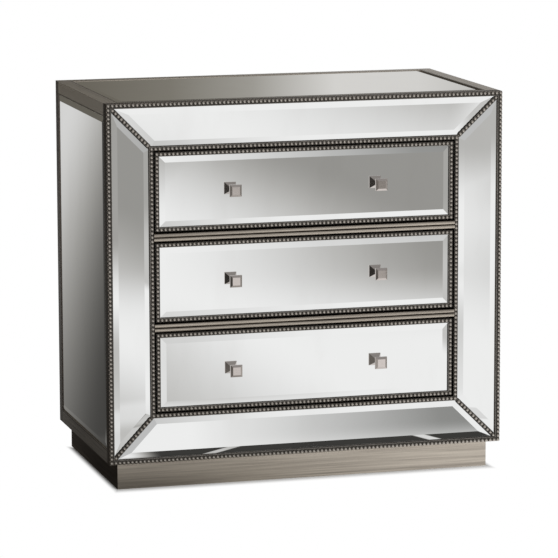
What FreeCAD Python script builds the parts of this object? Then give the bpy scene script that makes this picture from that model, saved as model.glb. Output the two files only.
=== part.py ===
import FreeCAD, Part
import os
import re
import Sketcher

# A mirrored chest of three drawers. X runs to the right, the drawers face -Y, Z is up,
# and the origin is on the floor in the middle of the whole outline, knobs included.

# Driving dimensions in millimetres, each written once.
SIZES = {
    # Body of the chest, measured over its wooden edges.
    "carcass_width": 858,
    "carcass_depth": 487,
    "carcass_height": 813,
    "panel_thickness": 20,
    "bottom_thickness": 18,
    "back_thickness": 6,
    "upright_thickness": 18,
    # Plinth that the body stands on.
    "plinth_height": 58,
    "plinth_thickness": 18,
    "plinth_side_inset": 22,
    "plinth_front_inset": 25,
    "plinth_back_inset": 16,
    "block_leg": 48,
    "block_drop": 8,
    # Bevelled mirror glass and the frames that it lies in.
    "glass_thickness": 4,
    "glass_edge": 2.2,
    "glass_bevel": 12.7,
    "glass_clearance": 0.25,
    "glass_sink": 0.4,
    "side_border": 28,
    "top_border": 31,
    # Face frame, canted inwards to the drawers.
    "frame_width": 101,
    "frame_thickness": 22,
    "frame_recess": 12,
    # Bead strips.
    "bead_width": 8.6,
    "bead_base": 0.8,
    "bead_margin": 1.4,
    # Drawers and the rails between them.
    "drawer_gap": 3.5,
    "drawer_front_thickness": 16,
    "drawer_rear_gap": 49,
    "rail_height": 17.5,
    "rail_depth": 60,
    "box_side_thickness": 12,
    "box_bottom_thickness": 6,
    "box_lift": 20,
    "box_drop": 26,
    "groove_height": 8,
    "groove_depth": 6,
    "groove_play": 0.2,
    # Telescopic slides, three nested channels on each side of a drawer.
    "slide_depth": 12.7,
    "slide_height": 45,
    "slide_metal": 1.2,
    "slide_play": 0.4,
    "slide_lip_step": 1.5,
    "slide_front_gap": 4,
    # Knobs and their screws.
    "knob_spacing": 317,
    "knob_projection": 28,
    "knob_base": 12,
    "knob_neck": 9,
    "knob_neck_level": 6,
    "knob_head": 25.4,
    "knob_head_level": 20.5,
    "knob_rim_level": 24.6,
    "knob_face": 16.4,
    "screw_diameter": 4,
    "screw_play": 0.05,
    "screw_hole_play": 0.3,
    "screw_reach": 12,
    "screw_head_diameter": 8.5,
    "screw_head_height": 2.6,
    # How far a cutter runs past the faces that it cuts.
    "overrun": 2,
}

DRAWERS = ("lower", "middle", "upper")

# Sizes and places that follow from the driving dimensions.
RULES = {
    "half_width": "carcass_width / 2",
    "half_inside": "half_width - panel_thickness",
    "knob_reach": "knob_projection - frame_recess",
    "front": "(knob_reach - carcass_depth) / 2",
    "back": "(knob_reach + carcass_depth) / 2",
    "panel_front": "front + frame_thickness",
    "panel_depth": "carcass_depth - frame_thickness",
    "inside_depth": "panel_depth - back_thickness",
    "top_underside": "carcass_height - panel_thickness",
    "floor_level": "plinth_height + bottom_thickness",
    "plinth_half_width": "half_width - plinth_side_inset",
    "plinth_half_depth": "(carcass_depth - plinth_front_inset - plinth_back_inset) / 2",
    "plinth_middle": "front + plinth_front_inset + plinth_half_depth",
    "glass_bed": "glass_thickness + glass_sink",
    "side_height": "carcass_height - plinth_height",
    "frame_half_height": "side_height / 2",
    "frame_middle": "(carcass_height + plinth_height) / 2",
    "frame_slope": "frame_recess / frame_width",
    "slope_cosine": "1 / sqrt(1 + frame_slope ^ 2)",
    "outer_land": "bead_margin + bead_width",
    "inner_land": "bead_width",
    "outer_seat": "outer_land * frame_slope + glass_thickness / slope_cosine",
    "inner_seat": "(frame_width - inner_land) * frame_slope + glass_thickness / slope_cosine",
    "glass_start": "outer_land + glass_clearance",
    "glass_lean": "glass_edge * frame_slope * slope_cosine",
    "glass_stop": "frame_width - inner_land - glass_clearance - glass_lean",
    "glass_start_seat": "glass_start * frame_slope + glass_thickness / slope_cosine",
    "glass_run": "glass_stop - glass_start",
    "glass_slant": "glass_run / slope_cosine",
    "mitre_trim": "(bead_width / 2 + glass_clearance) * sqrt(2)",
    "bevel_shift": "glass_bevel * sqrt(1 + slope_cosine ^ 2)",
    "bead_radius": "bead_width / 2",
    "mitre_rise": "bead_radius * frame_slope / sqrt(2 + frame_slope ^ 2)",
    "mitre_length": "glass_run * sqrt(2 + frame_slope ^ 2)",
    "opening_half_width": "half_width - frame_width",
    "opening_bottom": "plinth_height + frame_width",
    "opening_height": "side_height - 2 * frame_width",
    "drawer_pitch": f"(opening_height + rail_height) / {len(DRAWERS)}",
    "drawer_height": "drawer_pitch - rail_height - 2 * drawer_gap",
    "drawer_half_width": "opening_half_width - drawer_gap",
    "drawer_face": "front + frame_recess",
    "board_face": "drawer_face + glass_thickness",
    "board_back": "board_face + drawer_front_thickness",
    "box_half_width": "opening_half_width - slide_depth",
    "box_half_inside": "box_half_width - box_side_thickness",
    "box_rear": "back - back_thickness - drawer_rear_gap",
    "box_length": "box_rear - board_back",
    "box_height": "drawer_height - box_lift - box_drop",
    "groove_width": "box_bottom_thickness + groove_play",
    "slide_length": "box_length - slide_front_gap",
    "slide_nest": "slide_metal + slide_play",
}

doc = FreeCAD.newDocument("mirrored_chest")
sheet = doc.addObject("Spreadsheet::Sheet", "Sizes")
for row, (alias, size) in enumerate(SIZES.items(), start=1):
    sheet.set(f"A{row}", alias)
    sheet.set(f"B{row}", str(size))
    sheet.setAlias(f"B{row}", alias)
doc.recompute()

nodes = []


def rule(text):
    """Spells a rule out for the document, with each named size looked up in the sheet."""

    def look_up(match):
        word = match.group()
        if word in SIZES:
            return f"Sizes.{word}"
        if word in RULES:
            return f"({rule(RULES[word])})"
        return word

    return re.sub(r"[a-z]\w*", look_up, text)


def value(text):
    """The number that a rule gives with the sheet as it stands."""
    return float(sheet.evalExpression(rule(text)))


def move(x, y, z):
    """A step along the axes, as one factor of a placement."""
    return f"create(<<placement>>; create(<<vector>>; {x}; {y}; {z}); create(<<rotation>>; 0; 0; 0))"


def turn(axis, angle):
    """A turn about an axis, as one factor of a placement."""
    arrow = {"x": "1; 0; 0", "y": "0; 1; 0", "z": "0; 0; 1"}[axis]
    spin = f"create(<<rotation>>; create(<<vector>>; {arrow}); {angle})"
    return f"create(<<placement>>; create(<<vector>>; 0; 0; 0); {spin})"


# Front pieces are drawn lying on their backs, face up, and this stands them up to face -Y.
STAND = turn("x", 90)


def place(item, *steps):
    """Sets an object where the steps take it, the last step nearest to the object."""
    item.setExpression("Placement", rule(" * ".join(steps)))


def node(item):
    """Marks an object as a finished piece of the chest."""
    nodes.append(item)
    return item


def board(label, size, corner):
    """A plain rectangular board with its low corner at a place."""
    item = doc.addObject("Part::Box", label)
    for name, text in zip(("Length", "Width", "Height"), size):
        item.setExpression(name, rule(text))
    place(item, move(*corner))
    return item


def sketch(body, name, plane="XY_Plane", level="0"):
    """An empty sketch on one of the body's own planes, raised above it to a level."""
    item = body.newObject("Sketcher::SketchObject", f"{body.Name}_{name}")
    support = [face for face in body.Origin.OriginFeatures if face.Role == plane][0]
    item.AttachmentSupport = (support, "")
    item.MapMode = "FlatFace"
    item.setExpression("AttachmentOffset.Base.z", rule(level))
    return item


def hold(drawing, kind, edge, point, text):
    """Holds a point of an edge at a named distance from the sketch's origin."""
    number = drawing.addConstraint(Sketcher.Constraint(kind, -1, 1, edge, point, value(text)))
    drawing.setExpression(f"Constraints[{number}]", rule(text))


def draw(drawing, corners, rounds=None):
    """A closed outline, drawn anticlockwise. rounds gives the centres of its half-round edges."""
    rounds = rounds or {}
    first = drawing.GeometryCount
    spots = [FreeCAD.Vector(value(x), value(y), 0) for x, y in corners]
    for number, spot in enumerate(spots):
        following = spots[(number + 1) % len(spots)]
        if number in rounds:
            middle = (spot + following) / 2
            ring = Part.Circle(middle, FreeCAD.Vector(0, 0, 1), (following - middle).Length)
            drawing.addGeometry(Part.ArcOfCircle(ring, ring.parameter(spot), ring.parameter(following)))
        else:
            drawing.addGeometry(Part.LineSegment(spot, following))
    for number, (x, y) in enumerate(corners):
        edge = first + number
        following = first + (number + 1) % len(corners)
        drawing.addConstraint(Sketcher.Constraint("Coincident", edge, 2, following, 1))
        hold(drawing, "DistanceX", edge, 1, x)
        hold(drawing, "DistanceY", edge, 1, y)
    for number, (kind, centre) in rounds.items():
        hold(drawing, kind, first + number, 3, centre)
    return drawing


def hole(drawing, x, y, radius):
    """A round hole in a sketch."""
    spot = FreeCAD.Vector(value(x), value(y), 0)
    edge = drawing.addGeometry(Part.Circle(spot, FreeCAD.Vector(0, 0, 1), value(radius)))
    hold(drawing, "DistanceX", edge, 3, x)
    hold(drawing, "DistanceY", edge, 3, y)
    number = drawing.addConstraint(Sketcher.Constraint("Radius", edge, value(radius)))
    drawing.setExpression(f"Constraints[{number}]", rule(radius))


def rectangle(half_x, half_y, inset="0"):
    """Corners of an upright rectangle about the origin, drawn in by an inset."""
    x = f"({half_x} - {inset})"
    y = f"({half_y} - {inset})"
    return [(f"-{x}", f"-{y}"), (x, f"-{y}"), (x, y), (f"-{x}", y)]


def new_body(label):
    """An empty body for one piece."""
    return doc.addObject("PartDesign::Body", label)


def pad(body, profile, length, both_ways=False):
    """Raises a profile to a solid, to one side of its plane or half to each side."""
    item = body.newObject("PartDesign::Pad", f"{body.Name}_pad")
    item.Profile = profile
    item.SideType = "Symmetric" if both_ways else "One side"
    item.setExpression("Length", rule(length))
    return item


def pocket(body, profile, depth=None, upwards=False):
    """Cuts a profile down into the body, or up into it, to a depth or right through."""
    item = body.newObject("PartDesign::Pocket", f"{body.Name}_pocket")
    item.Profile = profile
    item.Reversed = upwards
    item.Type = "Length" if depth else "ThroughAll"
    if depth:
        item.setExpression("Length", rule(depth))
    return item


def loft(body, profiles):
    """Joins outlines at rising levels with flat facets."""
    item = body.newObject("PartDesign::AdditiveLoft", f"{body.Name}_loft")
    item.Profile = profiles[0]
    item.Sections = profiles[1:]
    item.Ruled = True
    return item


def mirrored(item, normal):
    """The same piece on the other side of the origin, across the plane with this normal."""
    twin = doc.addObject("Part::Mirroring", f"{item.Name}_twin")
    twin.Source = item
    twin.Normal = normal
    return twin


def group(label, pieces):
    """Separate solids that share one node."""
    item = doc.addObject("Part::Compound", label)
    item.Links = pieces
    return item


LEFT_RIGHT = FreeCAD.Vector(1, 0, 0)
TOP_BOTTOM = FreeCAD.Vector(0, 1, 0)


def bevelled_glass(label, outline, face):
    """A sheet of mirror glass, face up: a square edge, then a wide bevel up to the polished face."""
    body = new_body(label)
    pad(body, draw(sketch(body, "back"), outline), "glass_edge")
    rim = draw(sketch(body, "rim", level="glass_edge"), outline)
    loft(body, [rim, draw(sketch(body, "face", level="glass_thickness"), face)])
    return body


def mitred_length(label, section, rounds, half_length, reach, width, top):
    """A moulding that lies along X with its outer edge at a reach, its ends mitred at 45 degrees."""
    body = new_body(label)
    profile = draw(sketch(body, "section", "YZ_Plane"), section, rounds)
    pad(body, profile, f"2 * ({half_length})", both_ways=True)
    ends = sketch(body, "ends", level=top)
    tip = f"({half_length} + overrun)"
    heel = f"({half_length} - {width} - overrun)"
    high = f"({reach} + overrun)"
    low = f"({reach} - {width} - overrun)"
    draw(ends, [(tip, low), (tip, high), (heel, low)])
    draw(ends, [(f"-{tip}", low), (f"-{heel}", low), (f"-{tip}", high)])
    pocket(body, ends)
    return body


def bead_ring(label, half_x, half_y, base):
    """Four bead strips about an opening: half-round mouldings with mitred corners, face up."""
    lengths = []
    for name, half_length, reach in (("top", half_x, half_y), ("left", half_y, half_x)):
        inner = f"{reach} - bead_width"
        section = [(inner, "0"), (reach, "0"), (reach, base), (inner, base)]
        crown = {2: ("DistanceY", base)}
        top = f"{base} + bead_radius"
        strip = mitred_length(f"{label}_{name}", section, crown, half_length, reach, "bead_width", top)
        lengths.append(strip)
    top_strip, left_strip = lengths
    place(left_strip, turn("z", 90))
    pieces = [top_strip, mirrored(top_strip, TOP_BOTTOM), left_strip, mirrored(left_strip, LEFT_RIGHT)]
    return group(label, pieces)


# Plinth: four boards mitred at the corners, with a glue block in each corner.
def plinth_board(label, half_length, reach, angle):
    body = node(new_body(label))
    inner_half = f"({half_length} - plinth_thickness)"
    inner_reach = f"({reach} - plinth_thickness)"
    outline = [
        (f"-{half_length}", f"-{reach}"),
        (half_length, f"-{reach}"),
        (inner_half, f"-{inner_reach}"),
        (f"-{inner_half}", f"-{inner_reach}"),
    ]
    pad(body, draw(sketch(body, "outline"), outline), "plinth_height")
    place(body, move("0", "plinth_middle", "0"), turn("z", angle))


plinth_board("plinth_front_board", "plinth_half_width", "plinth_half_depth", 0)
plinth_board("plinth_right_board", "plinth_half_depth", "plinth_half_width", 90)
plinth_board("plinth_back_board", "plinth_half_width", "plinth_half_depth", 180)
plinth_board("plinth_left_board", "plinth_half_depth", "plinth_half_width", 270)

block = new_body("corner_block")
block_x = "(plinth_half_width - plinth_thickness)"
block_y = "(plinth_half_depth - plinth_thickness)"
block_corners = [
    (block_x, block_y),
    (f"{block_x} - block_leg", block_y),
    (block_x, f"{block_y} - block_leg"),
]
block_profile = draw(sketch(block, "outline", level="block_drop"), block_corners)
pad(block, block_profile, "plinth_height - block_drop")
right_back = block
left_back = mirrored(right_back, LEFT_RIGHT)
blocks = group(
    "plinth_corner_blocks",
    [right_back, left_back, mirrored(right_back, TOP_BOTTOM), mirrored(left_back, TOP_BOTTOM)],
)
place(node(blocks), move("0", "plinth_middle", "0"))

# Carcass: a bottom board on the plinth, sides and top mitred together, a thin back,
# and two uprights that carry the drawer slides.
node(board(
    "bottom_panel",
    ("2 * half_inside", "inside_depth", "bottom_thickness"),
    ("-half_inside", "panel_front", "plinth_height"),
))

side = node(new_body("left_side_panel"))
side_section = [
    ("0", "0"),
    ("side_height - panel_thickness", "0"),
    ("side_height", "panel_thickness"),
    ("0", "panel_thickness"),
]
pad(side, draw(sketch(side, "section", "YZ_Plane"), side_section), "panel_depth")
bed_front = "panel_depth + frame_thickness - side_border"
bed_top = "side_height - side_border"
side_bed = [
    ("side_border", "side_border"),
    (bed_front, "side_border"),
    (bed_front, bed_top),
    ("side_border", bed_top),
]
pocket(side, draw(sketch(side, "glass_bed", level="panel_thickness"), side_bed), "glass_bed")
place(side, move("panel_thickness - half_width", "back", "plinth_height"), turn("z", -90), STAND)
other_side = node(mirrored(side, LEFT_RIGHT))
other_side.Label = "right_side_panel"

top = node(new_body("top_panel"))
top_section = [
    ("-half_inside", "0"),
    ("half_inside", "0"),
    ("half_width", "panel_thickness"),
    ("-half_width", "panel_thickness"),
]
pad(top, draw(sketch(top, "section", "XZ_Plane"), top_section), "panel_depth")
top_bed_half = "(half_width - top_border)"
top_bed_front = "(panel_depth + frame_thickness - top_border)"
top_bed = [
    (f"-{top_bed_half}", f"-{top_bed_front}"),
    (top_bed_half, f"-{top_bed_front}"),
    (top_bed_half, "-top_border"),
    (f"-{top_bed_half}", "-top_border"),
]
pocket(top, draw(sketch(top, "glass_bed", level="panel_thickness"), top_bed), "glass_bed")
place(top, move("0", "back", "top_underside"))

node(board(
    "back_panel",
    ("2 * half_inside", "back_thickness", "top_underside - plinth_height"),
    ("-half_inside", "back - back_thickness", "plinth_height"),
))

upright_size = ("upright_thickness", "inside_depth", "top_underside - floor_level")
node(board("right_upright", upright_size, ("opening_half_width", "panel_front", "floor_level")))
left_edge = "-opening_half_width - upright_thickness"
node(board("left_upright", upright_size, (left_edge, "panel_front", "floor_level")))


# Mirror panels let into the sides and the top.
def panel_mirror(label, half_x, half_y, *steps):
    glass = bevelled_glass(label, rectangle(half_x, half_y), rectangle(half_x, half_y, "glass_bevel"))
    place(node(glass), *steps)


bed_level = "half_width - glass_bed"
side_half_depth = "(carcass_depth / 2 - side_border - glass_clearance)"
side_half_height = "(side_height / 2 - side_border - glass_clearance)"
side_centre = ("front + carcass_depth / 2", "frame_middle")
panel_mirror(
    "left_side_mirror", side_half_depth, side_half_height,
    move(f"-({bed_level})", *side_centre), turn("z", -90), STAND,
)
panel_mirror(
    "right_side_mirror", side_half_depth, side_half_height,
    move(bed_level, *side_centre), turn("z", 90), STAND,
)
panel_mirror(
    "top_mirror", "(half_width - top_border - glass_clearance)",
    "(carcass_depth / 2 - top_border - glass_clearance)",
    move("0", "front + carcass_depth / 2", "carcass_height - glass_bed"),
)


# Face frame: four mitred mouldings whose fronts slope in towards the drawers. Each has a flat
# land for a bead strip along both edges, and between them a sunk seat for its mirror.
def frame_side(side_name, moulding, half_length, reach, angle):
    inner = f"{reach} - frame_width"
    section = [
        (inner, "-frame_thickness"),
        (reach, "-frame_thickness"),
        (reach, "0"),
        (f"{reach} - outer_land", "0"),
        (f"{reach} - outer_land", "-outer_seat"),
        (f"{inner} + inner_land", "-inner_seat"),
        (f"{inner} + inner_land", "-frame_recess"),
        (inner, "-frame_recess"),
    ]
    stand_at = (move("0", "front", "frame_middle"), STAND, turn("z", angle))
    label = f"frame_{side_name}_{moulding}"
    wood = mitred_length(label, section, None, half_length, reach, "frame_width", "0")
    place(node(wood), *stand_at)

    long_half = f"({half_length} - glass_start - mitre_trim)"
    short_half = f"({long_half} - glass_run)"
    outline = [(f"-{short_half}", "-glass_slant"), (short_half, "-glass_slant"),
               (long_half, "0"), (f"-{long_half}", "0")]
    face_long = f"({long_half} - glass_bevel * slope_cosine - bevel_shift)"
    face_short = f"({short_half} + glass_bevel * slope_cosine - bevel_shift)"
    face = [(f"-{face_short}", "glass_bevel - glass_slant"), (face_short, "glass_bevel - glass_slant"),
            (face_long, "-glass_bevel"), (f"-{face_long}", "-glass_bevel")]
    glass = bevelled_glass(f"frame_{side_name}_mirror", outline, face)
    seat = move("0", f"{reach} - glass_start", "-glass_start_seat")
    place(node(glass), *stand_at, seat, turn("x", "atan(frame_slope)"))


frame_side("top", "rail", "half_width", "frame_half_height", 0)
frame_side("left", "stile", "frame_half_height", "half_width", 90)
frame_side("bottom", "rail", "half_width", "frame_half_height", 180)
frame_side("right", "stile", "frame_half_height", "half_width", 270)

# Bead strips round the frame's outer edge and round the drawer opening.
outer_beads = bead_ring(
    "outer_bead_trim", "(half_width - bead_margin)",
    "(frame_half_height - bead_margin)", "bead_base",
)
place(node(outer_beads), move("0", "front", "frame_middle"), STAND)
inner_beads = bead_ring(
    "inner_bead_trim", "(opening_half_width + bead_width)",
    "(opening_height / 2 + bead_width)", "bead_base",
)
place(node(inner_beads), move("0", "drawer_face", "frame_middle"), STAND)

# Bead strips in the valleys between the mirrors: a keeled foot, a point that fits the outer
# corner and a notch that fits over the inner one.
strip = new_body("mitre_bead")
shoulder = "(mitre_rise + glass_thickness)"
keel = [
    ("0", "0"),
    ("bead_radius", "mitre_rise"),
    ("bead_radius", shoulder),
    ("-bead_radius", shoulder),
    ("-bead_radius", "mitre_rise"),
]
keel_profile = draw(sketch(strip, "section", "YZ_Plane"), keel, {2: ("DistanceY", shoulder)})
pad(strip, keel_profile, "mitre_length + bead_radius")
ends = sketch(strip, "ends", level=f"{shoulder} + bead_radius")
past = "(bead_radius + overrun)"
draw(ends, [("-overrun", "overrun"), ("0", "0"), (past, past), ("-overrun", past)])
draw(ends, [("-overrun", "-overrun"), ("-overrun", f"-{past}"), (past, f"-{past}"), ("0", "0")])
stop = f"mitre_length + {past}"
draw(ends, [("mitre_length", "0"), (stop, f"-{past}"), (stop, past)])
pocket(strip, ends)
place(
    strip,
    move("glass_start - half_width", "frame_half_height - glass_start", "-glass_start_seat"),
    turn("z", -45),
    turn("y", "atan(frame_slope / sqrt(2))"),
)
right_strip = mirrored(strip, LEFT_RIGHT)
mitre_beads = group(
    "mitre_bead_trim",
    [strip, right_strip, mirrored(strip, TOP_BOTTOM), mirrored(right_strip, TOP_BOTTOM)],
)
place(node(mitre_beads), move("0", "front", "frame_middle"), STAND)

# Rails between the drawers, with two half-round reeds along the front.
for number, label in enumerate(("lower_drawer_rail", "upper_drawer_rail"), start=1):
    rail = node(new_body(label))
    reeded = [
        ("0", "-rail_height / 2"),
        ("rail_depth", "-rail_height / 2"),
        ("rail_depth", "rail_height / 2"),
        ("0", "rail_height / 2"),
        ("0", "0"),
    ]
    reeds = {3: ("DistanceX", "0"), 4: ("DistanceX", "0")}
    profile = draw(sketch(rail, "section", "YZ_Plane"), reeded, reeds)
    pad(rail, profile, "2 * opening_half_width", both_ways=True)
    place(rail, move("0", "drawer_face", f"opening_bottom + {number} * drawer_pitch - rail_height / 2"))


# Telescopic slides: three channels of folded steel, one inside the other. The left-hand one is drawn
# from the upright's face, and its twin is on the right.
def slide_pair(label, height, half, web, fold, lip):
    channel = new_body(f"{label}_left")
    flange = f"({half} - slide_metal)"
    section = [
        (web, f"-{half}"),
        (lip, f"-{half}"),
        (lip, f"-{flange}"),
        (fold, f"-{flange}"),
        (fold, flange),
        (lip, flange),
        (lip, half),
        (web, half),
    ]
    pad(channel, draw(sketch(channel, "section", "XZ_Plane"), section), "slide_length")
    place(channel, move("-opening_half_width", "box_rear", height))
    return [channel, mirrored(channel, LEFT_RIGHT)]


def slide_height(number):
    return f"opening_bottom + {number} * drawer_pitch + drawer_gap + box_lift + box_height / 2"


cabinet_members = []
for number, name in enumerate(DRAWERS):
    cabinet_members += slide_pair(
        f"{name}_cabinet_slide", slide_height(number),
        "slide_height / 2", "0", "slide_metal", "slide_depth - 2 * slide_lip_step",
    )
node(group("cabinet_slides", cabinet_members))


# One drawer: a wooden front with its mirror and bead strips, a grooved box, two knobs with their
# screws, and the moving members of its slides.
def drawer(name, number):
    bottom = f"(opening_bottom + {number} * drawer_pitch + drawer_gap)"
    middle = f"({bottom} + drawer_height / 2)"
    box_bottom = f"({bottom} + box_lift)"
    tray_level = f"({box_bottom} + groove_height)"

    front_board = node(new_body(f"{name}_drawer_front"))
    half_height = "(drawer_height / 2)"
    front_outline = draw(sketch(front_board, "outline"), rectangle("drawer_half_width", half_height))
    pad(front_board, front_outline, "drawer_front_thickness")
    groove_half = "(box_half_inside + groove_depth)"
    groove_low = f"(box_lift + groove_height - {half_height})"
    groove = [
        (f"-{groove_half}", groove_low),
        (groove_half, groove_low),
        (groove_half, f"{groove_low} + groove_width"),
        (f"-{groove_half}", f"{groove_low} + groove_width"),
    ]
    pocket(front_board, draw(sketch(front_board, "groove"), groove), "groove_depth", upwards=True)
    board_holes = sketch(front_board, "holes", level="drawer_front_thickness")
    place(front_board, move("0", "board_back", middle), STAND)

    glass_half_x = "(drawer_half_width - bead_width - glass_clearance)"
    glass_half_y = f"({half_height} - bead_width - glass_clearance)"
    glass_outline = rectangle(glass_half_x, glass_half_y)
    glass_face = rectangle(glass_half_x, glass_half_y, "glass_bevel")
    glass = bevelled_glass(f"{name}_drawer_mirror", glass_outline, glass_face)
    glass_holes = sketch(glass, "holes", level="glass_thickness")
    place(node(glass), move("0", "board_face", middle), STAND)

    for holes, body in ((board_holes, front_board), (glass_holes, glass)):
        for x in ("-knob_spacing / 2", "knob_spacing / 2"):
            hole(holes, x, "0", "screw_diameter / 2 + screw_hole_play")
        pocket(body, holes)

    beads = bead_ring(f"{name}_drawer_bead_trim", "drawer_half_width", half_height, "glass_thickness")
    place(node(beads), move("0", "board_face", middle), STAND)

    box_side = new_body(f"{name}_drawer_left_side")
    groove_face = "box_side_thickness - groove_depth"
    groove_top = "groove_height + groove_width"
    grooved = [
        ("0", "0"),
        ("box_side_thickness", "0"),
        ("box_side_thickness", "groove_height"),
        (groove_face, "groove_height"),
        (groove_face, groove_top),
        ("box_side_thickness", groove_top),
        ("box_side_thickness", "box_height"),
        ("0", "box_height"),
    ]
    pad(box_side, draw(sketch(box_side, "section", "XZ_Plane"), grooved), "box_length")
    place(box_side, move("-box_half_width", "box_rear", box_bottom))
    node(group(f"{name}_drawer_sides", [box_side, mirrored(box_side, LEFT_RIGHT)]))

    tray_half = "(box_half_inside + groove_depth - glass_clearance)"
    tray_front = "board_back - groove_depth + glass_clearance"
    node(board(
        f"{name}_drawer_bottom",
        (f"2 * {tray_half}", f"box_rear - ({tray_front})", "box_bottom_thickness"),
        (f"-{tray_half}", tray_front, tray_level),
    ))
    node(board(
        f"{name}_drawer_back",
        ("2 * box_half_inside", "box_side_thickness", "box_height - groove_height - box_bottom_thickness"),
        ("-box_half_inside", "box_rear - box_side_thickness", f"{tray_level} + box_bottom_thickness"),
    ))

    knob = new_body(f"{name}_drawer_left_knob")
    levels = [
        ("knob_base", "0"),
        ("knob_neck", "knob_neck_level"),
        ("knob_head", "knob_head_level"),
        ("knob_head", "knob_rim_level"),
        ("knob_face", "knob_projection"),
    ]
    squares = []
    for width, level in levels:
        square = rectangle(f"{width} / 2", f"{width} / 2")
        squares.append(draw(sketch(knob, width, level=level), square))
    loft(knob, squares)
    socket = sketch(knob, "socket")
    hole(socket, "0", "0", "screw_diameter / 2 + screw_play")
    pocket(knob, socket, "screw_reach + overrun", upwards=True)
    place(knob, move("-knob_spacing / 2", "drawer_face", middle), STAND)
    node(group(f"{name}_drawer_knobs", [knob, mirrored(knob, LEFT_RIGHT)]))

    shank = doc.addObject("Part::Cylinder", f"{name}_screw_shank")
    shank.setExpression("Radius", rule("screw_diameter / 2"))
    shank.setExpression("Height", rule("drawer_front_thickness + glass_thickness + screw_reach"))
    head = doc.addObject("Part::Cylinder", f"{name}_screw_head")
    head.setExpression("Radius", rule("screw_head_diameter / 2"))
    head.setExpression("Height", rule("screw_head_height"))
    place(head, move("0", "0", "-screw_head_height"))
    screw = doc.addObject("Part::Fuse", f"{name}_drawer_left_screw")
    screw.Base = shank
    screw.Tool = head
    place(screw, move("-knob_spacing / 2", "board_back", middle), STAND)
    node(group(f"{name}_drawer_knob_screws", [screw, mirrored(screw, LEFT_RIGHT)]))

    node(group(f"{name}_drawer_slides", slide_pair(
        f"{name}_drawer_slide", slide_height(number),
        "(slide_height / 2 - 2 * slide_nest)", "slide_depth", "slide_depth - slide_metal", "2 * slide_nest",
    )))
    node(group(f"{name}_intermediate_slides", slide_pair(
        f"{name}_intermediate_slide", slide_height(number),
        "(slide_height / 2 - slide_nest)", "slide_nest", "slide_nest + slide_metal",
        "slide_depth - slide_lip_step",
    )))


for number, name in enumerate(DRAWERS):
    drawer(name, number)

doc.recompute()
for item in doc.Objects:
    if "Invalid" in item.State or "Error" in item.State:
        raise RuntimeError(f"{item.Label} did not build: {item.State}")
for item in nodes:
    if item.Shape.isNull() or not item.Shape.isValid():
        raise RuntimeError(f"{item.Label} has no valid shape")

os.makedirs("parts", exist_ok=True)
for item in nodes:
    item.Shape.exportStep(os.path.join("parts", f"{item.Label}.step"))
    print(item.Label, len(item.Shape.Solids), "solids", round(item.Shape.Volume), "cubic mm")
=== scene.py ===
import math

import bmesh
import bpy
from mathutils import Matrix, Vector


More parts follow.
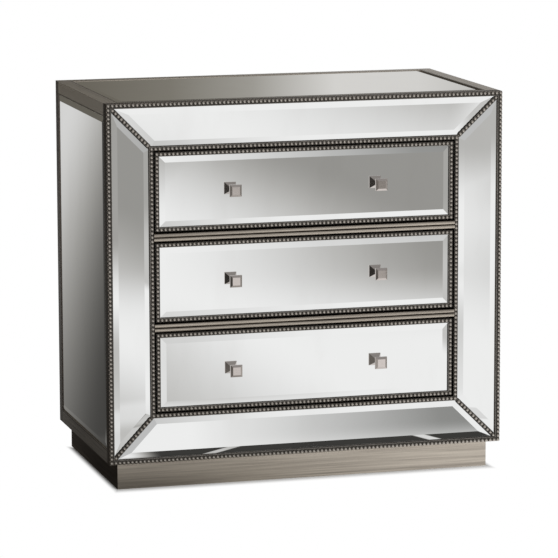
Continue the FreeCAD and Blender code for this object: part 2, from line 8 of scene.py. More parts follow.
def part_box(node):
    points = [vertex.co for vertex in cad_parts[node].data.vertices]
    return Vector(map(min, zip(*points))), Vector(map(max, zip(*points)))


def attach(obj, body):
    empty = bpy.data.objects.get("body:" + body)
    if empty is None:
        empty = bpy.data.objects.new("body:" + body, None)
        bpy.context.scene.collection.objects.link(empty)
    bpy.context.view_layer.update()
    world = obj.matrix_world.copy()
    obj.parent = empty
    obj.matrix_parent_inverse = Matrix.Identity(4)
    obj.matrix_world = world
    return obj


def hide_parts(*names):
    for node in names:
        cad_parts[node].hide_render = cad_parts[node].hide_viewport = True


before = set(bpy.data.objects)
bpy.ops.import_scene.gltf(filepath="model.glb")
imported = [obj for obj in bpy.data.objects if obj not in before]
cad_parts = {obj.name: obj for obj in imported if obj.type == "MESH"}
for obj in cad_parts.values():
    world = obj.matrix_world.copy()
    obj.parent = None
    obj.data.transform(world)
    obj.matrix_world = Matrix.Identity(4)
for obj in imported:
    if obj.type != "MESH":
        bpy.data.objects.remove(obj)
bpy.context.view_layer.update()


# The plinth is four mitred boards set back under the chest, with glue blocks in the corners.
# The boards are fibreboard under silver leaf and a champagne lacquer, which is rubbed along
# the board so that fine brown lines of the ground show through.
class Shade:
    """One output of a shader node. Sums on it add Math nodes."""

    def __init__(self, tree, socket=None):
        self.tree = tree
        self.socket = socket

    def add(self, kind, settings, sockets, output=0):
        """Adds a node: its type, its settings, the values or links of its sockets."""
        node = self.tree.nodes.new(kind)
        for name, setting in settings.items():
            if name == "stops":
                self.set_stops(node.color_ramp, setting)
            else:
                setattr(node, name, setting)
        for name, value in sockets.items():
            if isinstance(value, Shade):
                self.tree.links.new(value.socket, node.inputs[name])
            else:
                node.inputs[name].default_value = value
        return Shade(self.tree, node.outputs[output])

    def set_stops(self, ramp, stops):
        while len(ramp.elements) < len(stops):
            ramp.elements.new(1.0)
        for element, (place, colour) in zip(ramp.elements, stops):
            element.position = place
            element.color = colour

    def sum(self, operation, first, second=0.0):
        return self.add("ShaderNodeMath", {"operation": operation}, {0: first, 1: second})

    def __add__(self, other):
        return self.sum("ADD", self, other)

    def __radd__(self, other):
        return self.sum("ADD", other, self)

    def __sub__(self, other):
        return self.sum("SUBTRACT", self, other)

    def __rsub__(self, other):
        return self.sum("SUBTRACT", other, self)

    def __mul__(self, other):
        return self.sum("MULTIPLY", self, other)

    def __rmul__(self, other):
        return self.sum("MULTIPLY", other, self)

    def __truediv__(self, other):
        return self.sum("DIVIDE", self, other)

    def __abs__(self):
        return self.sum("ABSOLUTE", self)

    def larger(self, other):
        return self.sum("MAXIMUM", self, other)

    def rise(self, low, high):
        """0 below low and 1 above high, with a soft step between; low may be the larger."""
        settings = {"interpolation_type": "SMOOTHSTEP"}
        sockets = {"Value": self, "From Min": low, "From Max": high}
        return self.add("ShaderNodeMapRange", settings, sockets)

    def blend(self, first, second):
        """A colour between two, by this share of the second."""
        return self.add("ShaderNodeMix", {"data_type": "RGBA"}, {0: self, 6: first, 7: second}, 2)

    def grain(self, scale, detail=2.0, roughness=0.5):
        """Noise at these coordinates, with so many cells to the metre along each axis."""
        stretched = self.add("ShaderNodeMapping", {}, {"Vector": self, "Scale": scale})
        sockets = {"Vector": stretched, "Scale": 1.0, "Detail": detail, "Roughness": roughness}
        return self.add("ShaderNodeTexNoise", {}, sockets)

    def axis(self, name):
        return self.add("ShaderNodeSeparateXYZ", {}, {"Vector": self}, name)

    def feed(self, node, name):
        self.tree.links.new(self.socket, node.inputs[name])

    def dent(self, shader, depth, strength=1.0):
        """Turns this height into a bump on the shader, so many metres deep."""
        sockets = {"Height": self, "Distance": depth, "Strength": strength}
        self.add("ShaderNodeBump", {}, sockets).feed(shader, "Normal")


def new_finish(name):
    """An empty finish: its material, its shader and the piece's own coordinates."""
    material = bpy.data.materials.new(name)
    material.use_nodes = True
    shader = material.node_tree.nodes["Principled BSDF"]
    place = Shade(material.node_tree).add("ShaderNodeTexCoord", {}, {}, "Object")
    return material, shader, place


def coat(material, *names):
    """Puts a finish on CAD nodes."""
    for name in names:
        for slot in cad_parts[name].material_slots:
            slot.material = material


# The dark colour shows in the rubbed lines as the ground, and also serves as painted shade.
LEAF_GROUND_AND_SHADE = (0.130, 0.108, 0.092, 1)
LEAF_SILVER = (0.640, 0.574, 0.490, 1)
RUB_DEPTH = 0.00005
# The plinth's end boards are darkened, and dulled at a low angle, with painted shade.
PLINTH_END_PAINTED_SHADE = 0.4


def rub_lines(place, along):
    """Fine lines of rubbed leaf along a board over broad soft streaks, from 0 to 1."""
    streaks = place.grain([1.6 if name == along else 120 for name in "xyz"], 3.0, 0.5)
    hairs = place.grain([5 if name == along else 420 for name in "xyz"], 3.0, 0.6)
    return streaks * 0.3 + hairs * 0.7


def champagne_leaf(shader, lines):
    """The champagne silver finish, from lines between 0 and 1; below 0 only the dark colour is
    left, which is the ground and painted shade.
    """
    lines.rise(-0.05, 0.75).blend(LEAF_GROUND_AND_SHADE, LEAF_SILVER).feed(shader, "Base Color")
    (0.42 - lines * 0.16).feed(shader, "Roughness")
    lines.dent(shader, RUB_DEPTH, 0.15)
    shader.inputs["Metallic"].default_value = 1.0
    shader.inputs["Coat Weight"].default_value = 0.1
    shader.inputs["Coat Roughness"].default_value = 0.22


def champagne(name, along, painted_shade=0.0):
    """Champagne leaf rubbed along a board. Painted shade darkens it, and dulls its shine at a low
    angle.
    """
    material, shader, place = new_finish("champagne_" + name)
    champagne_leaf(shader, rub_lines(place, along) - painted_shade)
    edge = 1 - painted_shade * 1.8
    shader.inputs["Specular Tint"].default_value = (edge, edge, edge, 1)
    return material


coat(champagne("plinth_length", "x"), "plinth_front_board", "plinth_back_board")
coat(champagne("plinth_end", "y", PLINTH_END_PAINTED_SHADE), "plinth_left_board", "plinth_right_board")


# The sides and the top are boards with a raised border round a let-in mirror, under the same
# champagne leaf. The border's rails and stiles are rubbed each along its own length, and meet in
# a fine butt joint that shows as a darker hair line. A painted shadow line runs round the mirror.
def champagne_border(panel, mirror, rail, stile, low_painted_shade=0.0, top_painted_shade=0.0, stile_painted_shade=0.0):
    """The border's finish: rails above and below the mirror, stiles from end to end, with painted
    shade given for the low rail, the top rail and the stiles; a value below 0 lightens.
    """
    material, shader, place = new_finish("champagne_" + panel)
    low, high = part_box(mirror)
    middle, half = (low + high) / 2, (high - low) / 2
    past = abs(place.axis(rail.upper()) - getattr(middle, rail)) - getattr(half, rail)
    above = abs(place.axis(stile.upper()) - getattr(middle, stile)) - getattr(half, stile)
    beyond = past.larger(above)
    # Painted shadow: a thin dark line on the border a few millimetres round the mirror.
    painted_rebate_shadow = beyond.rise(0.0008, 0.0014) * beyond.rise(0.0042, 0.0022)
    on_stile = past.rise(0.0, 0.0004)
    # Painted shade by height: the rails go from the low rail's amount to the top rail's, and the
    # stiles take their own.
    is_top = place.axis(stile.upper()).rise(getattr(low, stile), getattr(high, stile))
    on_rails = rub_lines(place, rail) - low_painted_shade - is_top * (top_painted_shade - low_painted_shade)
    on_stiles = rub_lines(place, stile) - stile_painted_shade
    lines = on_rails * (1 - on_stile) + on_stiles * on_stile
    joint = abs(past - 0.0006).rise(0.0007, 0.0002)
    champagne_leaf(shader, lines - joint * 0.3 - painted_rebate_shadow * 0.8)
    coat(material, panel)


# On the sides painted shade darkens the low rail and the stiles and lightens the top rail.
side_painted_shade = {"low_painted_shade": 0.25, "top_painted_shade": -0.32, "stile_painted_shade": 0.40}
champagne_border("left_side_panel", "left_side_mirror", "y", "z", **side_painted_shade)
champagne_border("right_side_panel", "right_side_mirror", "y", "z", **side_painted_shade)
champagne_border("top_panel", "top_mirror", "x", "y")


# Behind them are the boards that nobody is meant to see: the bottom, the back, the two uprights
# that carry the slides, the glue blocks and the drawer fronts' cores. They are pine and plywood
# under a matt black stain, and the grain still shows in it.
STAIN_BLACK = (0.010, 0.009, 0.008, 1)
STAIN_BROWN = (0.034, 0.029, 0.026, 1)


def black_stain(along):
    material, shader, place = new_finish("black_stain_" + along)
    stretch = {"x": (3, 90, 90), "y": (90, 3, 90), "z": (90, 90, 3)}[along]
    fibre = place.grain(stretch, 5.0, 0.6)
    fibre.rise(0.35, 0.7).blend(STAIN_BLACK, STAIN_BROWN).feed(shader, "Base Color")
    (0.56 + fibre * 0.16).feed(shader, "Roughness")
    fibre.dent(shader, 0.0006, 0.4)
    return material


stain_x, stain_y, stain_z = black_stain("x"), black_stain("y"), black_stain("z")
coat(stain_x, "bottom_panel", "lower_drawer_front", "middle_drawer_front", "upper_drawer_front")
coat(stain_y, "plinth_corner_blocks")
coat(stain_z, "back_panel", "left_upright", "right_upright")


# The mirrors are 4 mm glass, silvered behind, with a half-inch bevel ground on each edge.
# The silver gives nearly all the light back. Faint wiping marks stay on the glass.
CLEAR_SILVER = (0.905, 0.910, 0.905, 1)
WIPED_SILVER = (0.870, 0.872, 0.865, 1)


def mirror_glass():
    material, shader, place = new_finish("mirror_glass")
    wiped = place.grain((14, 14, 5), 3.0, 0.55)
    haze = wiped.rise(0.45, 0.8)
    haze.blend(CLEAR_SILVER, WIPED_SILVER).feed(shader, "Base Color")
    (0.012 + haze * 0.018).feed(shader, "Roughness")
    shader.inputs["Metallic"].default_value = 1.0
    return material


silvered = mirror_glass()
coat(silvered, "left_side_mirror", "right_side_mirror", "top_mirror")


# The face frame is four mitred mouldings whose fronts slope in towards the drawers. Each holds
# a trapezoid of bevelled mirror on its slope, and shows only its edge and two narrow lands, which
# painted shade darkens and dulls.
FRAME_PAINTED_SHADE = 0.35
coat(champagne("frame_rail", "x", FRAME_PAINTED_SHADE), "frame_top_rail", "frame_bottom_rail")
coat(champagne("frame_stile", "z", FRAME_PAINTED_SHADE), "frame_left_stile", "frame_right_stile")
coat(silvered, "frame_top_mirror", "frame_bottom_mirror", "frame_left_mirror", "frame_right_mirror")


# Bead strips edge the frame, cover its mitres and line the opening. Each is a moulded strip with
# a row of half-round beads beside a low fillet, silver leafed and glazed dark; the dark between the
# beads is partly that glaze and partly painted shade. The strips are pinned and glued to the lands.
BEAD_PITCH = 0.0088
BEAD_RADIUS = 0.0038
BEAD_SINK = 0.0004
BEAD_STRIP_WIDTH = 0.0086
FILLET_WIDTH = 0.0009
FILLET_RISE = 0.0012
LAND_FOOT = 0.0010
OUTER_OVERHANG = 0.0016
BEAD_GLAZE_AND_SHADE = (0.030, 0.026, 0.021, 1)
BEAD_SILVER = (0.500, 0.460, 0.415, 1)


def antique_silver():
    """Silver on the beads' crests, and dark glaze with painted shade in the hollows between them.
    """
    material, shader, place = new_finish("antique_silver_beads")
    crest = place.add("ShaderNodeAttribute", {"attribute_name": "crest"}, {}, "Fac")
    blotch = place.grain((160, 160, 160), 2.0)
    # The lower a point stands, the darker: dark glaze and painted shade in the hollows.
    wiped = (crest + blotch * 0.24 - 0.12).rise(0.15, 0.62)
    wiped.blend(BEAD_GLAZE_AND_SHADE, BEAD_SILVER).feed(shader, "Base Color")
    (0.46 - wiped * 0.22).feed(shader, "Roughness")
    (0.25 + wiped * 0.70).feed(shader, "Metallic")
    blotch.dent(shader, 0.0003, 0.3)
    return material


beaded = antique_silver()


def bead_row(beads, step):
    """A row of half-round beads along X from x = 0, sunk a little below the level 0."""
    row = bmesh.new()
    bmesh.ops.create_uvsphere(row, u_segments=12, v_segments=8, radius=BEAD_RADIUS)
    bead = row.verts[:] + row.edges[:] + row.faces[:]
    bmesh.ops.bisect_plane(
        row, geom=bead, plane_co=(0, 0, -BEAD_SINK), plane_no=(0, 0, 1), clear_inner=True
    )
    bmesh.ops.holes_fill(row, edges=[edge for edge in row.edges if edge.is_boundary], sides=0)
    made = 1
    while made < beads:
        copied = bmesh.ops.duplicate(row, geom=row.verts[:] + row.edges[:] + row.faces[:])["geom"]
        points = [item for item in copied if isinstance(item, bmesh.types.BMVert)]
        bmesh.ops.translate(row, vec=(made * step, 0, 0), verts=points)
        made *= 2
    surplus = [point for point in row.verts if point.co.x > (beads - 0.5) * step]
    bmesh.ops.delete(row, geom=surplus, context="VERTS")
    for face in row.faces:
        face.smooth = True
    return row


def flat_ring(half_width, half_height, width, depth):
    """A mitred frame of flat strip, its front at level 0."""
    strip = bmesh.new()
    bmesh.ops.create_grid(strip, x_segments=1, y_segments=1, size=1)
    bmesh.ops.scale(strip, vec=(half_width, half_height, 1), verts=strip.verts)
    ring = bmesh.ops.inset_region(
        strip, faces=strip.faces[:], thickness=width, use_even_offset=True, use_boundary=True
    )["faces"]
    middle = [face for face in strip.faces if face not in ring]
    bmesh.ops.delete(strip, geom=middle, context="FACES")
    front = bmesh.ops.extrude_face_region(strip, geom=strip.faces[:])["geom"]
    points = [item for item in front if isinstance(item, bmesh.types.BMVert)]
    bmesh.ops.translate(strip, vec=(0, 0, -depth), verts=strip.verts)
    bmesh.ops.translate(strip, vec=(0, 0, depth), verts=points)
    return strip


def lay(strip, part, place):
    """Adds a part to a strip at a place, and lets go of the part."""
    bmesh.ops.transform(part, matrix=place, verts=part.verts)
    mesh = bpy.data.meshes.new("laid")
    part.to_mesh(mesh)
    part.free()
    strip.from_mesh(mesh)
    bpy.data.meshes.remove(mesh)


def mark_crest(strip):
    """Writes how far each point stands above the strip: 0 in the hollows, 1 on the beads."""
    crest = strip.verts.layers.float.new("crest")
    for point in strip.verts:
        point[crest] = max(point.co.z, 0.0) / BEAD_RADIUS


def finish_piece(name, mesh, material, slot, body, *nodes):
    """Makes the piece's object, sets it on its body and lets it stand for its CAD nodes."""
    bmesh.ops.recalc_face_normals(mesh, faces=mesh.faces[:])
    data = bpy.data.meshes.new(name)
    mesh.to_mesh(data)
    mesh.free()
    data.materials.append(material)
    piece = bpy.data.objects.new(name, data)
    bpy.context.scene.collection.objects.link(piece)
    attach(piece, body)
    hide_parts(*nodes)


def beaded_ring(name, node, foot, body, fillet_inset, overhang=0.0):
    """Four mitred bead strips in place of a CAD node.

    The foot is how deep the strips are, and the overhang how far out their beads stand.
    """
    low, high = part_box(node)
    half_width, half_height = (high.x - low.x) / 2, (high.z - low.z) / 2
    fillet_reach, fillet_top = half_width - fillet_inset, half_height - fillet_inset
    fillet = flat_ring(fillet_reach, fillet_top, FILLET_WIDTH, foot + FILLET_RISE)
    bed_inset = 0 if fillet_inset else FILLET_WIDTH
    bed_width = BEAD_STRIP_WIDTH - FILLET_WIDTH
    bed_edge = bed_inset + overhang / 2
    bed_reach, bed_top = half_width - bed_edge, half_height - bed_edge
    strip = flat_ring(bed_reach, bed_top, bed_width - overhang / 2, foot)
    lay(strip, fillet, Matrix.Translation((0, 0, FILLET_RISE)))
    row_inset = bed_inset + bed_width / 2 - overhang
    reach, rise = half_width - row_inset, half_height - row_inset
    sides = [
        (-reach, -rise, 2 * reach), (reach, -rise, 2 * rise),
        (reach, rise, 2 * reach), (-reach, rise, 2 * rise),
    ]
    for quarter, (x, z, length) in enumerate(sides):
        beads = round(length / BEAD_PITCH)
        turn = Matrix.Rotation(quarter * math.pi / 2, 4, "Z")
        lay(strip, bead_row(beads, length / beads), Matrix.Translation((x, z, 0)) @ turn)
    mark_crest(strip)
    seat = Matrix.Translation(((low.x + high.x) / 2, high.y - foot, (low.z + high.z) / 2))
    upright = Matrix.Rotation(math.pi / 2, 4, "X")
    bmesh.ops.transform(strip, matrix=seat @ upright, verts=strip.verts)
    finish_piece(name, strip, beaded, "silver_bead", body, node)


inner_fillet = BEAD_STRIP_WIDTH - FILLET_WIDTH
beaded_ring("outer_beads", "outer_bead_trim", LAND_FOOT, "carcass", inner_fillet, OUTER_OVERHANG)
beaded_ring("inner_beads", "inner_bead_trim", LAND_FOOT, "carcass", 0)


# The four strips on the mitres lie in the valleys between the sloping mirrors. They are the same
# silver-leafed moulding, each on a tapered keel that fills its valley, glued over the joint.
FRAME_WIDTH = 0.101
FRAME_FALL = 0.012
FRAME_SLOPE = FRAME_FALL / FRAME_WIDTH
KEEL_DEPTH = 0.0036
KEEL_TAPER = 0.55
MITRE_LIFT = 0.0003
frame_low, frame_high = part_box("frame_left_stile")
mitre_low, mitre_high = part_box("mitre_bead_trim")
inset = mitre_low.x - frame_low.x
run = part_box("frame_left_mirror")[1].x - mitre_low.x
length = run * math.sqrt(2 + FRAME_SLOPE ** 2)
beads = round(length / BEAD_PITCH)
step = length / beads
front = frame_low.y + inset * FRAME_SLOPE - MITRE_LIFT
mitres = bmesh.new()
for side in (-1, 1):
    for corner, inwards in ((frame_high.z, -1), (frame_low.z, 1)):
        strip = bmesh.new()
        keel = bmesh.ops.create_cube(strip, size=1)["verts"]
        bmesh.ops.scale(strip, vec=(length, BEAD_STRIP_WIDTH, KEEL_DEPTH), verts=keel)
        bmesh.ops.translate(strip, vec=(length / 2, 0, -KEEL_DEPTH / 2), verts=keel)
        foot = [point for point in keel if point.co.z < -KEEL_DEPTH / 2]
        bmesh.ops.scale(strip, vec=(1, KEEL_TAPER, 1), verts=foot)
        lay(strip, bead_row(beads, step), Matrix.Translation((step / 2, 0, 0)))
        mark_crest(strip)
        start = Vector((side * mitre_high.x, front, corner + inwards * inset))
        along = Vector((-side, FRAME_SLOPE, inwards)).normalized()
        out = (Vector((0, -1, 0)) + along * along.y).normalized()
        turn = Matrix((along, out.cross(along), out)).transposed().to_4x4()
        lay(mitres, strip, Matrix.Translation(start) @ turn)
finish_piece("mitre_beads", mitres, beaded, "silver_bead", "carcass", "mitre_bead_trim")


# Two reeded rails part the drawers. Each is a moulding with two round reeds and a groove between
# them, under the champagne leaf, with painted shade in the groove and along its top and bottom
# edges.
GROOVE_EDGE = 0.0019
GROOVE_FLOOR = 0.0004
REED_EDGE = 0.0016
for rail in ("lower_drawer_rail", "upper_drawer_rail"):
    material, shader, place = new_finish("champagne_" + rail)
    low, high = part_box(rail)
    level = abs(place.axis("Z") - (low.z + high.z) / 2)
    edge = (high.z - low.z) / 2
    # Painted shade in the groove and along the rail's top and bottom edges.
    painted_groove_shade = level.rise(GROOVE_EDGE, GROOVE_FLOOR) + level.rise(edge - REED_EDGE, edge)
    champagne_leaf(shader, rub_lines(place, "x") - painted_groove_shade * 0.55)
    coat(material, rail)


# Each drawer runs on two telescopic slides: a channel on the cabinet's upright, one on the
# drawer's side and one between them, rolled from zinc-plated strip.
ZINC_DULL = (0.46, 0.47, 0.48, 1)
ZINC_BRIGHT = (0.70, 0.71, 0.715, 1)


def zinc_plate():
    material, shader, place = new_finish("zinc_plate")
    rolled = place.grain((700, 6, 700), 3.0)
    cells = {"Vector": place, "Scale": 260.0}
    spangle = place.add("ShaderNodeTexVoronoi", {}, cells, "Color").axis("X")
    tone = rolled * 0.6 + spangle * 0.4
    tone.rise(0.2, 0.8).blend(ZINC_DULL, ZINC_BRIGHT).feed(shader, "Base Color")
    (0.42 - tone * 0.16).feed(shader, "Roughness")
    rolled.dent(shader, 0.0002, 0.3)
    shader.inputs["Metallic"].default_value = 1.0
    return material


zinc = zinc_plate()
coat(zinc, "cabinet_slides")


# The three drawers are boxes of poplar boards with a plywood bottom let into grooves, clear
# lacquered. Their fronts have a bevelled mirror glued on between four bead strips.
POPLAR_PALE = (0.66, 0.50, 0.335, 1)
POPLAR_BROWN = (0.46, 0.315, 0.185, 1)
GROWTH_LINES = 26
DRAWER_FOOT = 0.0042


def poplar(along):
    """Pale drawer wood with straight grain along one axis, and soft darker growth lines."""
    material, shader, place = new_finish("poplar_" + along)
    stretch = {"x": (1.6, 42, 42), "y": (42, 1.6, 42)}[along]
    pores = {"x": (16, 900, 900), "y": (900, 16, 900)}[along]
    growth = place.grain(stretch, 4.0, 0.55)
    fibre = place.grain(pores, 2.0)
    wave = growth * GROWTH_LINES
    rings = wave.sum("SINE", wave) * 0.5 + 0.5
    tone = rings * 0.45 + fibre * 0.35 + growth * 0.2
    tone.rise(0.1, 0.9).blend(POPLAR_PALE, POPLAR_BROWN).feed(shader, "Base Color")
    (0.36 + fibre * 0.14).feed(shader, "Roughness")
    fibre.dent(shader, 0.0003, 0.35)
    return material


poplar_x, poplar_y = poplar("x"), poplar("y")
for which in ("lower", "middle", "upper"):
    drawer = which + "_drawer"
    coat(poplar_y, drawer + "_sides")
    coat(poplar_x, drawer + "_back", drawer + "_bottom")
    coat(zinc, drawer + "_slides", which + "_intermediate_slides", drawer + "_knob_screws")
    coat(silvered, drawer + "_mirror")
    beaded_ring(drawer + "_beads", drawer + "_bead_trim", DRAWER_FOOT, drawer, inner_fillet)


# The knobs are cast zinc alloy, plated with satin nickel: a neck that spreads into a square head
# with a bevelled border. A screw from behind the drawer front holds each one.
NICKEL_DULL = (0.61, 0.555, 0.525, 1)
NICKEL_BRIGHT = (0.71, 0.65, 0.615, 1)


def satin_nickel():
    material, shader, place = new_finish("satin_nickel")
    brushed = place.grain((60, 60, 2400), 3.0, 0.6)
    brushed.rise(0.3, 0.7).blend(NICKEL_DULL, NICKEL_BRIGHT).feed(shader, "Base Color")
    (0.06 + brushed * 0.06).feed(shader, "Roughness")
    shader.inputs["Metallic"].default_value = 1.0
    return material


coat(satin_nickel(), "lower_drawer_knobs", "middle_drawer_knobs", "upper_drawer_knobs")


# The chest stands on a pale floor that looks white, with the chest's own soft shadow. Mirrors and
# metal see the floor glow with a painted map instead: a white area in front with painted shade on
# the right, far off, past both its ends and at the plinth's toe, and painted darkness behind the
# chest with one painted lit patch.
FLOOR_REACH = 7
floor_mesh = bmesh.new()
bmesh.ops.create_grid(floor_mesh, x_segments=1, y_segments=1, size=FLOOR_REACH)
floor_data = bpy.data.meshes.new("floor")
floor_mesh.to_mesh(floor_data)
floor_mesh.free()
floor = bpy.data.objects.new("floor", floor_data)
bpy.context.scene.collection.objects.link(floor)
material, shader, place = new_finish("pale_floor")
tree = material.node_tree
x, y = place.axis("X"), place.axis("Y")

# The white area in front and its painted shade, in metres from the middle of the chest.
SHEET = 0.93
slant = x + y * 0.405
far_right_shade = (x + y.rise(-4.0, -2.7) * 0.2).rise(0.5, 1.5) * y.rise(-1.6, -2.8)
far_right_shade = far_right_shade * (1 - slant.rise(0.12, 0.26)) * 0.60
right_shade = slant.rise(0.53, 0.60) * 0.34 + slant.rise(0.85, 1.25) * 0.17
near_strip = y.rise(-1.10, -1.00) * y.rise(-0.75, -0.90)
near_left_shade = x.rise(0.40, -0.25) * x.rise(-0.50, -0.10) * y.rise(-2.6, -1.8) * y.rise(-0.50, -0.60)
near_left_shade = near_left_shade * (0.42 - near_strip * 0.21)
band = x + y * 0.186
left_shade_band = band.rise(-0.30, -0.40) * band.rise(-0.75, -0.60) * y.rise(-2.5, -3.7) * 0.54
far_shade = y.rise(-4.0, -5.8) * 0.42
shade = far_right_shade.larger(right_shade).larger(near_left_shade).larger(left_shade_band).larger(far_shade)

# A painted shadow line at the toe, with two gaps, painted shade at the toe and past the white
# area's ends.
toe_shadow_line = y.rise(-0.545, -0.535) * y.rise(-0.476, -0.484)
toe_shadow_line = toe_shadow_line * x.rise(-0.33, -0.25) * x.rise(0.52, 0.49)
left_gap = abs(x + (y + 0.5) * 1.52 + 0.125).rise(0.018, 0.011)
right_gap = abs(x - (y + 0.5) * 0.53 - 0.3625).rise(0.018, 0.010)
toe_shadow_line = toe_shadow_line * 0.95 * (1 - left_gap * 0.62) * (1 - right_gap * 0.8)
toe_shade = (y.rise(-0.50, -0.48) * 0.42 + y.rise(-0.40, -0.33) * 0.48) * x.rise(0.45, -0.45)
left_dark = (y - x * 0.75).rise(-0.5, -0.1) * x.rise(-0.45, -0.70) * 0.78
corner_end = y.rise(-2.1, -1.6) * 0.95
left_dark = left_dark.larger(x.rise(-1.0, -1.4) * y.rise(-0.50, -0.64) * corner_end)
right_dark = x.rise(1.3, 2.5) * y.rise(-0.20, -0.50) * corner_end
ahead = (SHEET - shade) * (1 - toe_shadow_line) * (1 - toe_shade) * (1 - left_dark) * (1 - right_dark)

# Behind the chest: painted darkness, a little painted light beside it and a painted lit patch.
UNLIT_FLOOR = 0.06
across = x + y * 0.266
glow = across.rise(-0.46, -0.08) * across.rise(0.15, 0.0).larger(x.rise(0.0, 0.5))
glow_end = x.rise(-0.6, 0.0) * y.rise(3.5, 5.0) * 0.75
beside = x.rise(-0.46, -0.62) * y.rise(0.36, 0.16) * 0.14
behind = UNLIT_FLOOR + beside + glow * 0.64 * (1 - glow_end)
is_behind = y.rise(-0.25, 0.0)
seen = ahead * (1 - is_behind) + behind * is_behind
warmth = seen.rise(0.1, 0.9).blend((1.0, 0.975, 0.92, 1), (1, 1, 1, 1))
level = seen.add("ShaderNodeCombineColor", {}, {"Red": seen, "Green": seen, "Blue": seen})
tint = {"data_type": "RGBA", "blend_type": "MULTIPLY"}
mirrored = warmth.add("ShaderNodeMix", tint, {0: 1.0, 6: warmth, 7: level}, 2)

# Away from the plinth the camera sees plain white. Mirrors and metal see the painted map above at
# every place, and light bouncing off the floor takes its colour.
SHADOW_HALF_WIDTH, SHADOW_HALF_DEPTH = 0.407, 0.2055
SHADOW_MIDDLE = -0.005
SHADOW_SIDE_FALL = 2.6
is_camera = Shade(tree).add("ShaderNodeLightPath", {}, {}, "Is Camera Ray")
is_glossy = Shade(tree).add("ShaderNodeLightPath", {}, {}, "Is Glossy Ray")
is_through = Shade(tree).add("ShaderNodeLightPath", {}, {}, "Is Transmission Ray")
outside = (abs(x) - SHADOW_HALF_WIDTH) * SHADOW_SIDE_FALL
outside = outside.larger(abs(y - SHADOW_MIDDLE) - SHADOW_HALF_DEPTH)
clear = is_camera * outside.rise(0.0, 0.04)
is_camera.blend(mirrored, (0.86, 0.86, 0.86, 1)).feed(shader, "Base Color")
shader.inputs["Roughness"].default_value = 0.9
painted = Shade(tree, shader.outputs["BSDF"])
light = is_camera.blend(mirrored, (1, 1, 1, 1))
light = light.add("ShaderNodeEmission", {}, {"Color": light, "Strength": 1.0})
share = clear.larger(is_glossy.larger(is_through))
surface = share.add("ShaderNodeMixShader", {}, {"Fac": share, 1: painted, 2: light})
surface.feed(tree.nodes["Material Output"], "Surface")
floor_data.materials.append(material)


# The studio round it: a white wall in front with a grey panel in its middle, dim walls on the
# right, dark corners on both sides, and behind it a dark curtain above a lit strip of wall. A soft
# box and low lights show in front on the right, where a large soft lamp lights the chest.
DARK, UNLIT = (0.150, 0.138, 0.114, 1), (0.055, 0.051, 0.046, 1)
LEFT_CORNER, LEFT_WALL = (0.08, 0.076, 0.068, 1), (0.20, 0.196, 0.185, 1)
WALL, GREY, DIM = (0.93, 0.93, 0.93, 1), (0.55, 0.55, 0.55, 1), (0.24, 0.24, 0.232, 1)
RIGHT_CORNER, CEILING = (0.10, 0.098, 0.092, 1), (0.38, 0.38, 0.38, 1)
LIT_EDGE, LIT_BACK, LIT_END = (0.50, 0.49, 0.47, 1), (0.80, 0.79, 0.77, 1), (0.26, 0.247, 0.215, 1)
BOX_EDGE, BOX_MIDDLE = (0.60, 0.60, 0.595, 1), (0.91, 0.91, 0.91, 1)
CURTAIN, DULL_WALL = (0.07, 0.065, 0.055, 1), (0.70, 0.70, 0.695, 1)
world = bpy.data.worlds.new("studio")
bpy.context.scene.world = world
world.use_nodes = True
tree = world.node_tree
view = Shade(tree).add("ShaderNodeTexCoord", {}, {}, "Generated")
east, south, height = view.axis("X"), 0 - view.axis("Y"), view.axis("Z")

# The walls by bearing: 0 degrees is straight in front of the chest, 90 on its right.
WALLS = [
    (-180, DARK), (-130, LEFT_CORNER), (-105, LEFT_WALL), (-72, LEFT_WALL), (-52, UNLIT),
    (-47, UNLIT), (-28, WALL), (-16, WALL), (-9, GREY), (3, GREY), (8, WALL), (14.2, WALL),
    (18.6, DIM), (27, DIM), (30, WALL), (33, WALL), (41, DIM), (60, UNLIT), (120, RIGHT_CORNER),
    (160.6, LIT_EDGE), (162.6, LIT_BACK), (164.9, LIT_END), (167, DARK),
]
stops = [((angle + 180) / 360, colour) for angle, colour in WALLS]
bearing = east.sum("ARCTAN2", east, south) / (2 * math.pi) + 0.5
walls = bearing.add("ShaderNodeValToRGB", {"stops": stops}, {"Fac": bearing})
slope = east / south
in_front = south.rise(0.0, 0.2)
soft_box = height.rise(0.22, 0.25) * height.rise(0.42, 0.38)
soft_box = soft_box * slope.rise(0.16, 0.20) * slope.rise(0.46, 0.42) * in_front
walls = soft_box.blend(walls, slope.rise(0.235, 0.300).blend(BOX_EDGE, BOX_MIDDLE))
curtain = height.rise(0.24, 0.36) * south.rise(0.0, -0.3) * 0.9
walls = curtain.blend(walls, CURTAIN)
low_strip = height.rise(0.040, 0.075) * height.rise(0.150, 0.085)
low_strip = low_strip * slope.rise(0.09, 0.14) * slope.rise(0.42, 0.36)
low_behind = height.rise(0.065, 0.050) * south.rise(-0.5, -0.8) * east.rise(0.12, 0.22)
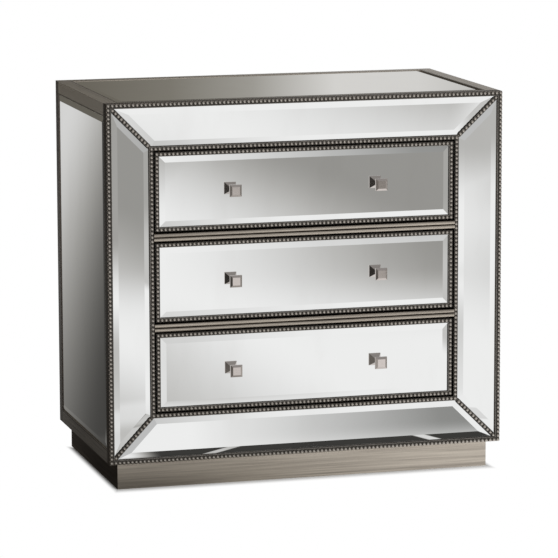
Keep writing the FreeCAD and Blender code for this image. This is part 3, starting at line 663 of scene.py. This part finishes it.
low_light = (height.rise(0.018, 0.008) + low_strip) * in_front + low_behind
room = low_light.blend(height.rise(0.45, 0.85).blend(walls, CEILING), WALL)
dull = height.rise(0.05, 0.07) * height.rise(0.112, 0.104)
dull = dull * slope.rise(0.16, 0.20) * slope.rise(0.300, 0.240)
room = (dull * in_front).blend(room, DULL_WALL)
is_camera = Shade(tree).add("ShaderNodeLightPath", {}, {}, "Is Camera Ray")
is_camera.blend(room, (1, 1, 1, 1)).feed(tree.nodes["Background"], "Color")

LAMP_PLACE, LAMP_AIM = Vector((2.2, -4.4, 1.8)), Vector((0, 0, 0.4))
lamp = bpy.data.lights.new("soft_lamp", "AREA")
lamp.shape = "RECTANGLE"
lamp.size, lamp.size_y = 2.6, 2.0
lamp.energy = 230
lamp_object = bpy.data.objects.new("soft_lamp", lamp)
bpy.context.scene.collection.objects.link(lamp_object)
lamp_object.visible_glossy = False
lamp_object.location = LAMP_PLACE
lamp_object.rotation_euler = (LAMP_AIM - LAMP_PLACE).to_track_quat("-Z", "Y").to_euler()


# The camera stands to the front left and a little above, with a long lens. Its place and lens
# are those of a pinhole camera fitted to the corners of the chest.
SENSOR = 36
FOCAL_PIXELS, IMAGE_PIXELS = 3379.5, 558
CAMERA_PLACE = (-1.973, -6.941, 1.594)
camera_data = bpy.data.cameras.new("camera")
camera_data.sensor_width = SENSOR
camera_data.lens = SENSOR * FOCAL_PIXELS / IMAGE_PIXELS
camera = bpy.data.objects.new("camera", camera_data)
bpy.context.scene.collection.objects.link(camera)
azimuth, elevation, roll = math.radians(-15.905), math.radians(9.447), math.radians(-0.14)
flat = math.cos(elevation)
back = Vector((math.sin(azimuth) * flat, -math.cos(azimuth) * flat, math.sin(elevation)))
level = Vector((0, 0, 1)).cross(back).normalized()
right = level * math.cos(roll) + back.cross(level) * math.sin(roll)
turn = Matrix((right, back.cross(right), back)).transposed().to_4x4()
camera.matrix_world = Matrix.Translation(CAMERA_PLACE) @ turn
bpy.context.scene.camera = camera
bpy.context.scene.view_settings.view_transform = "Standard"
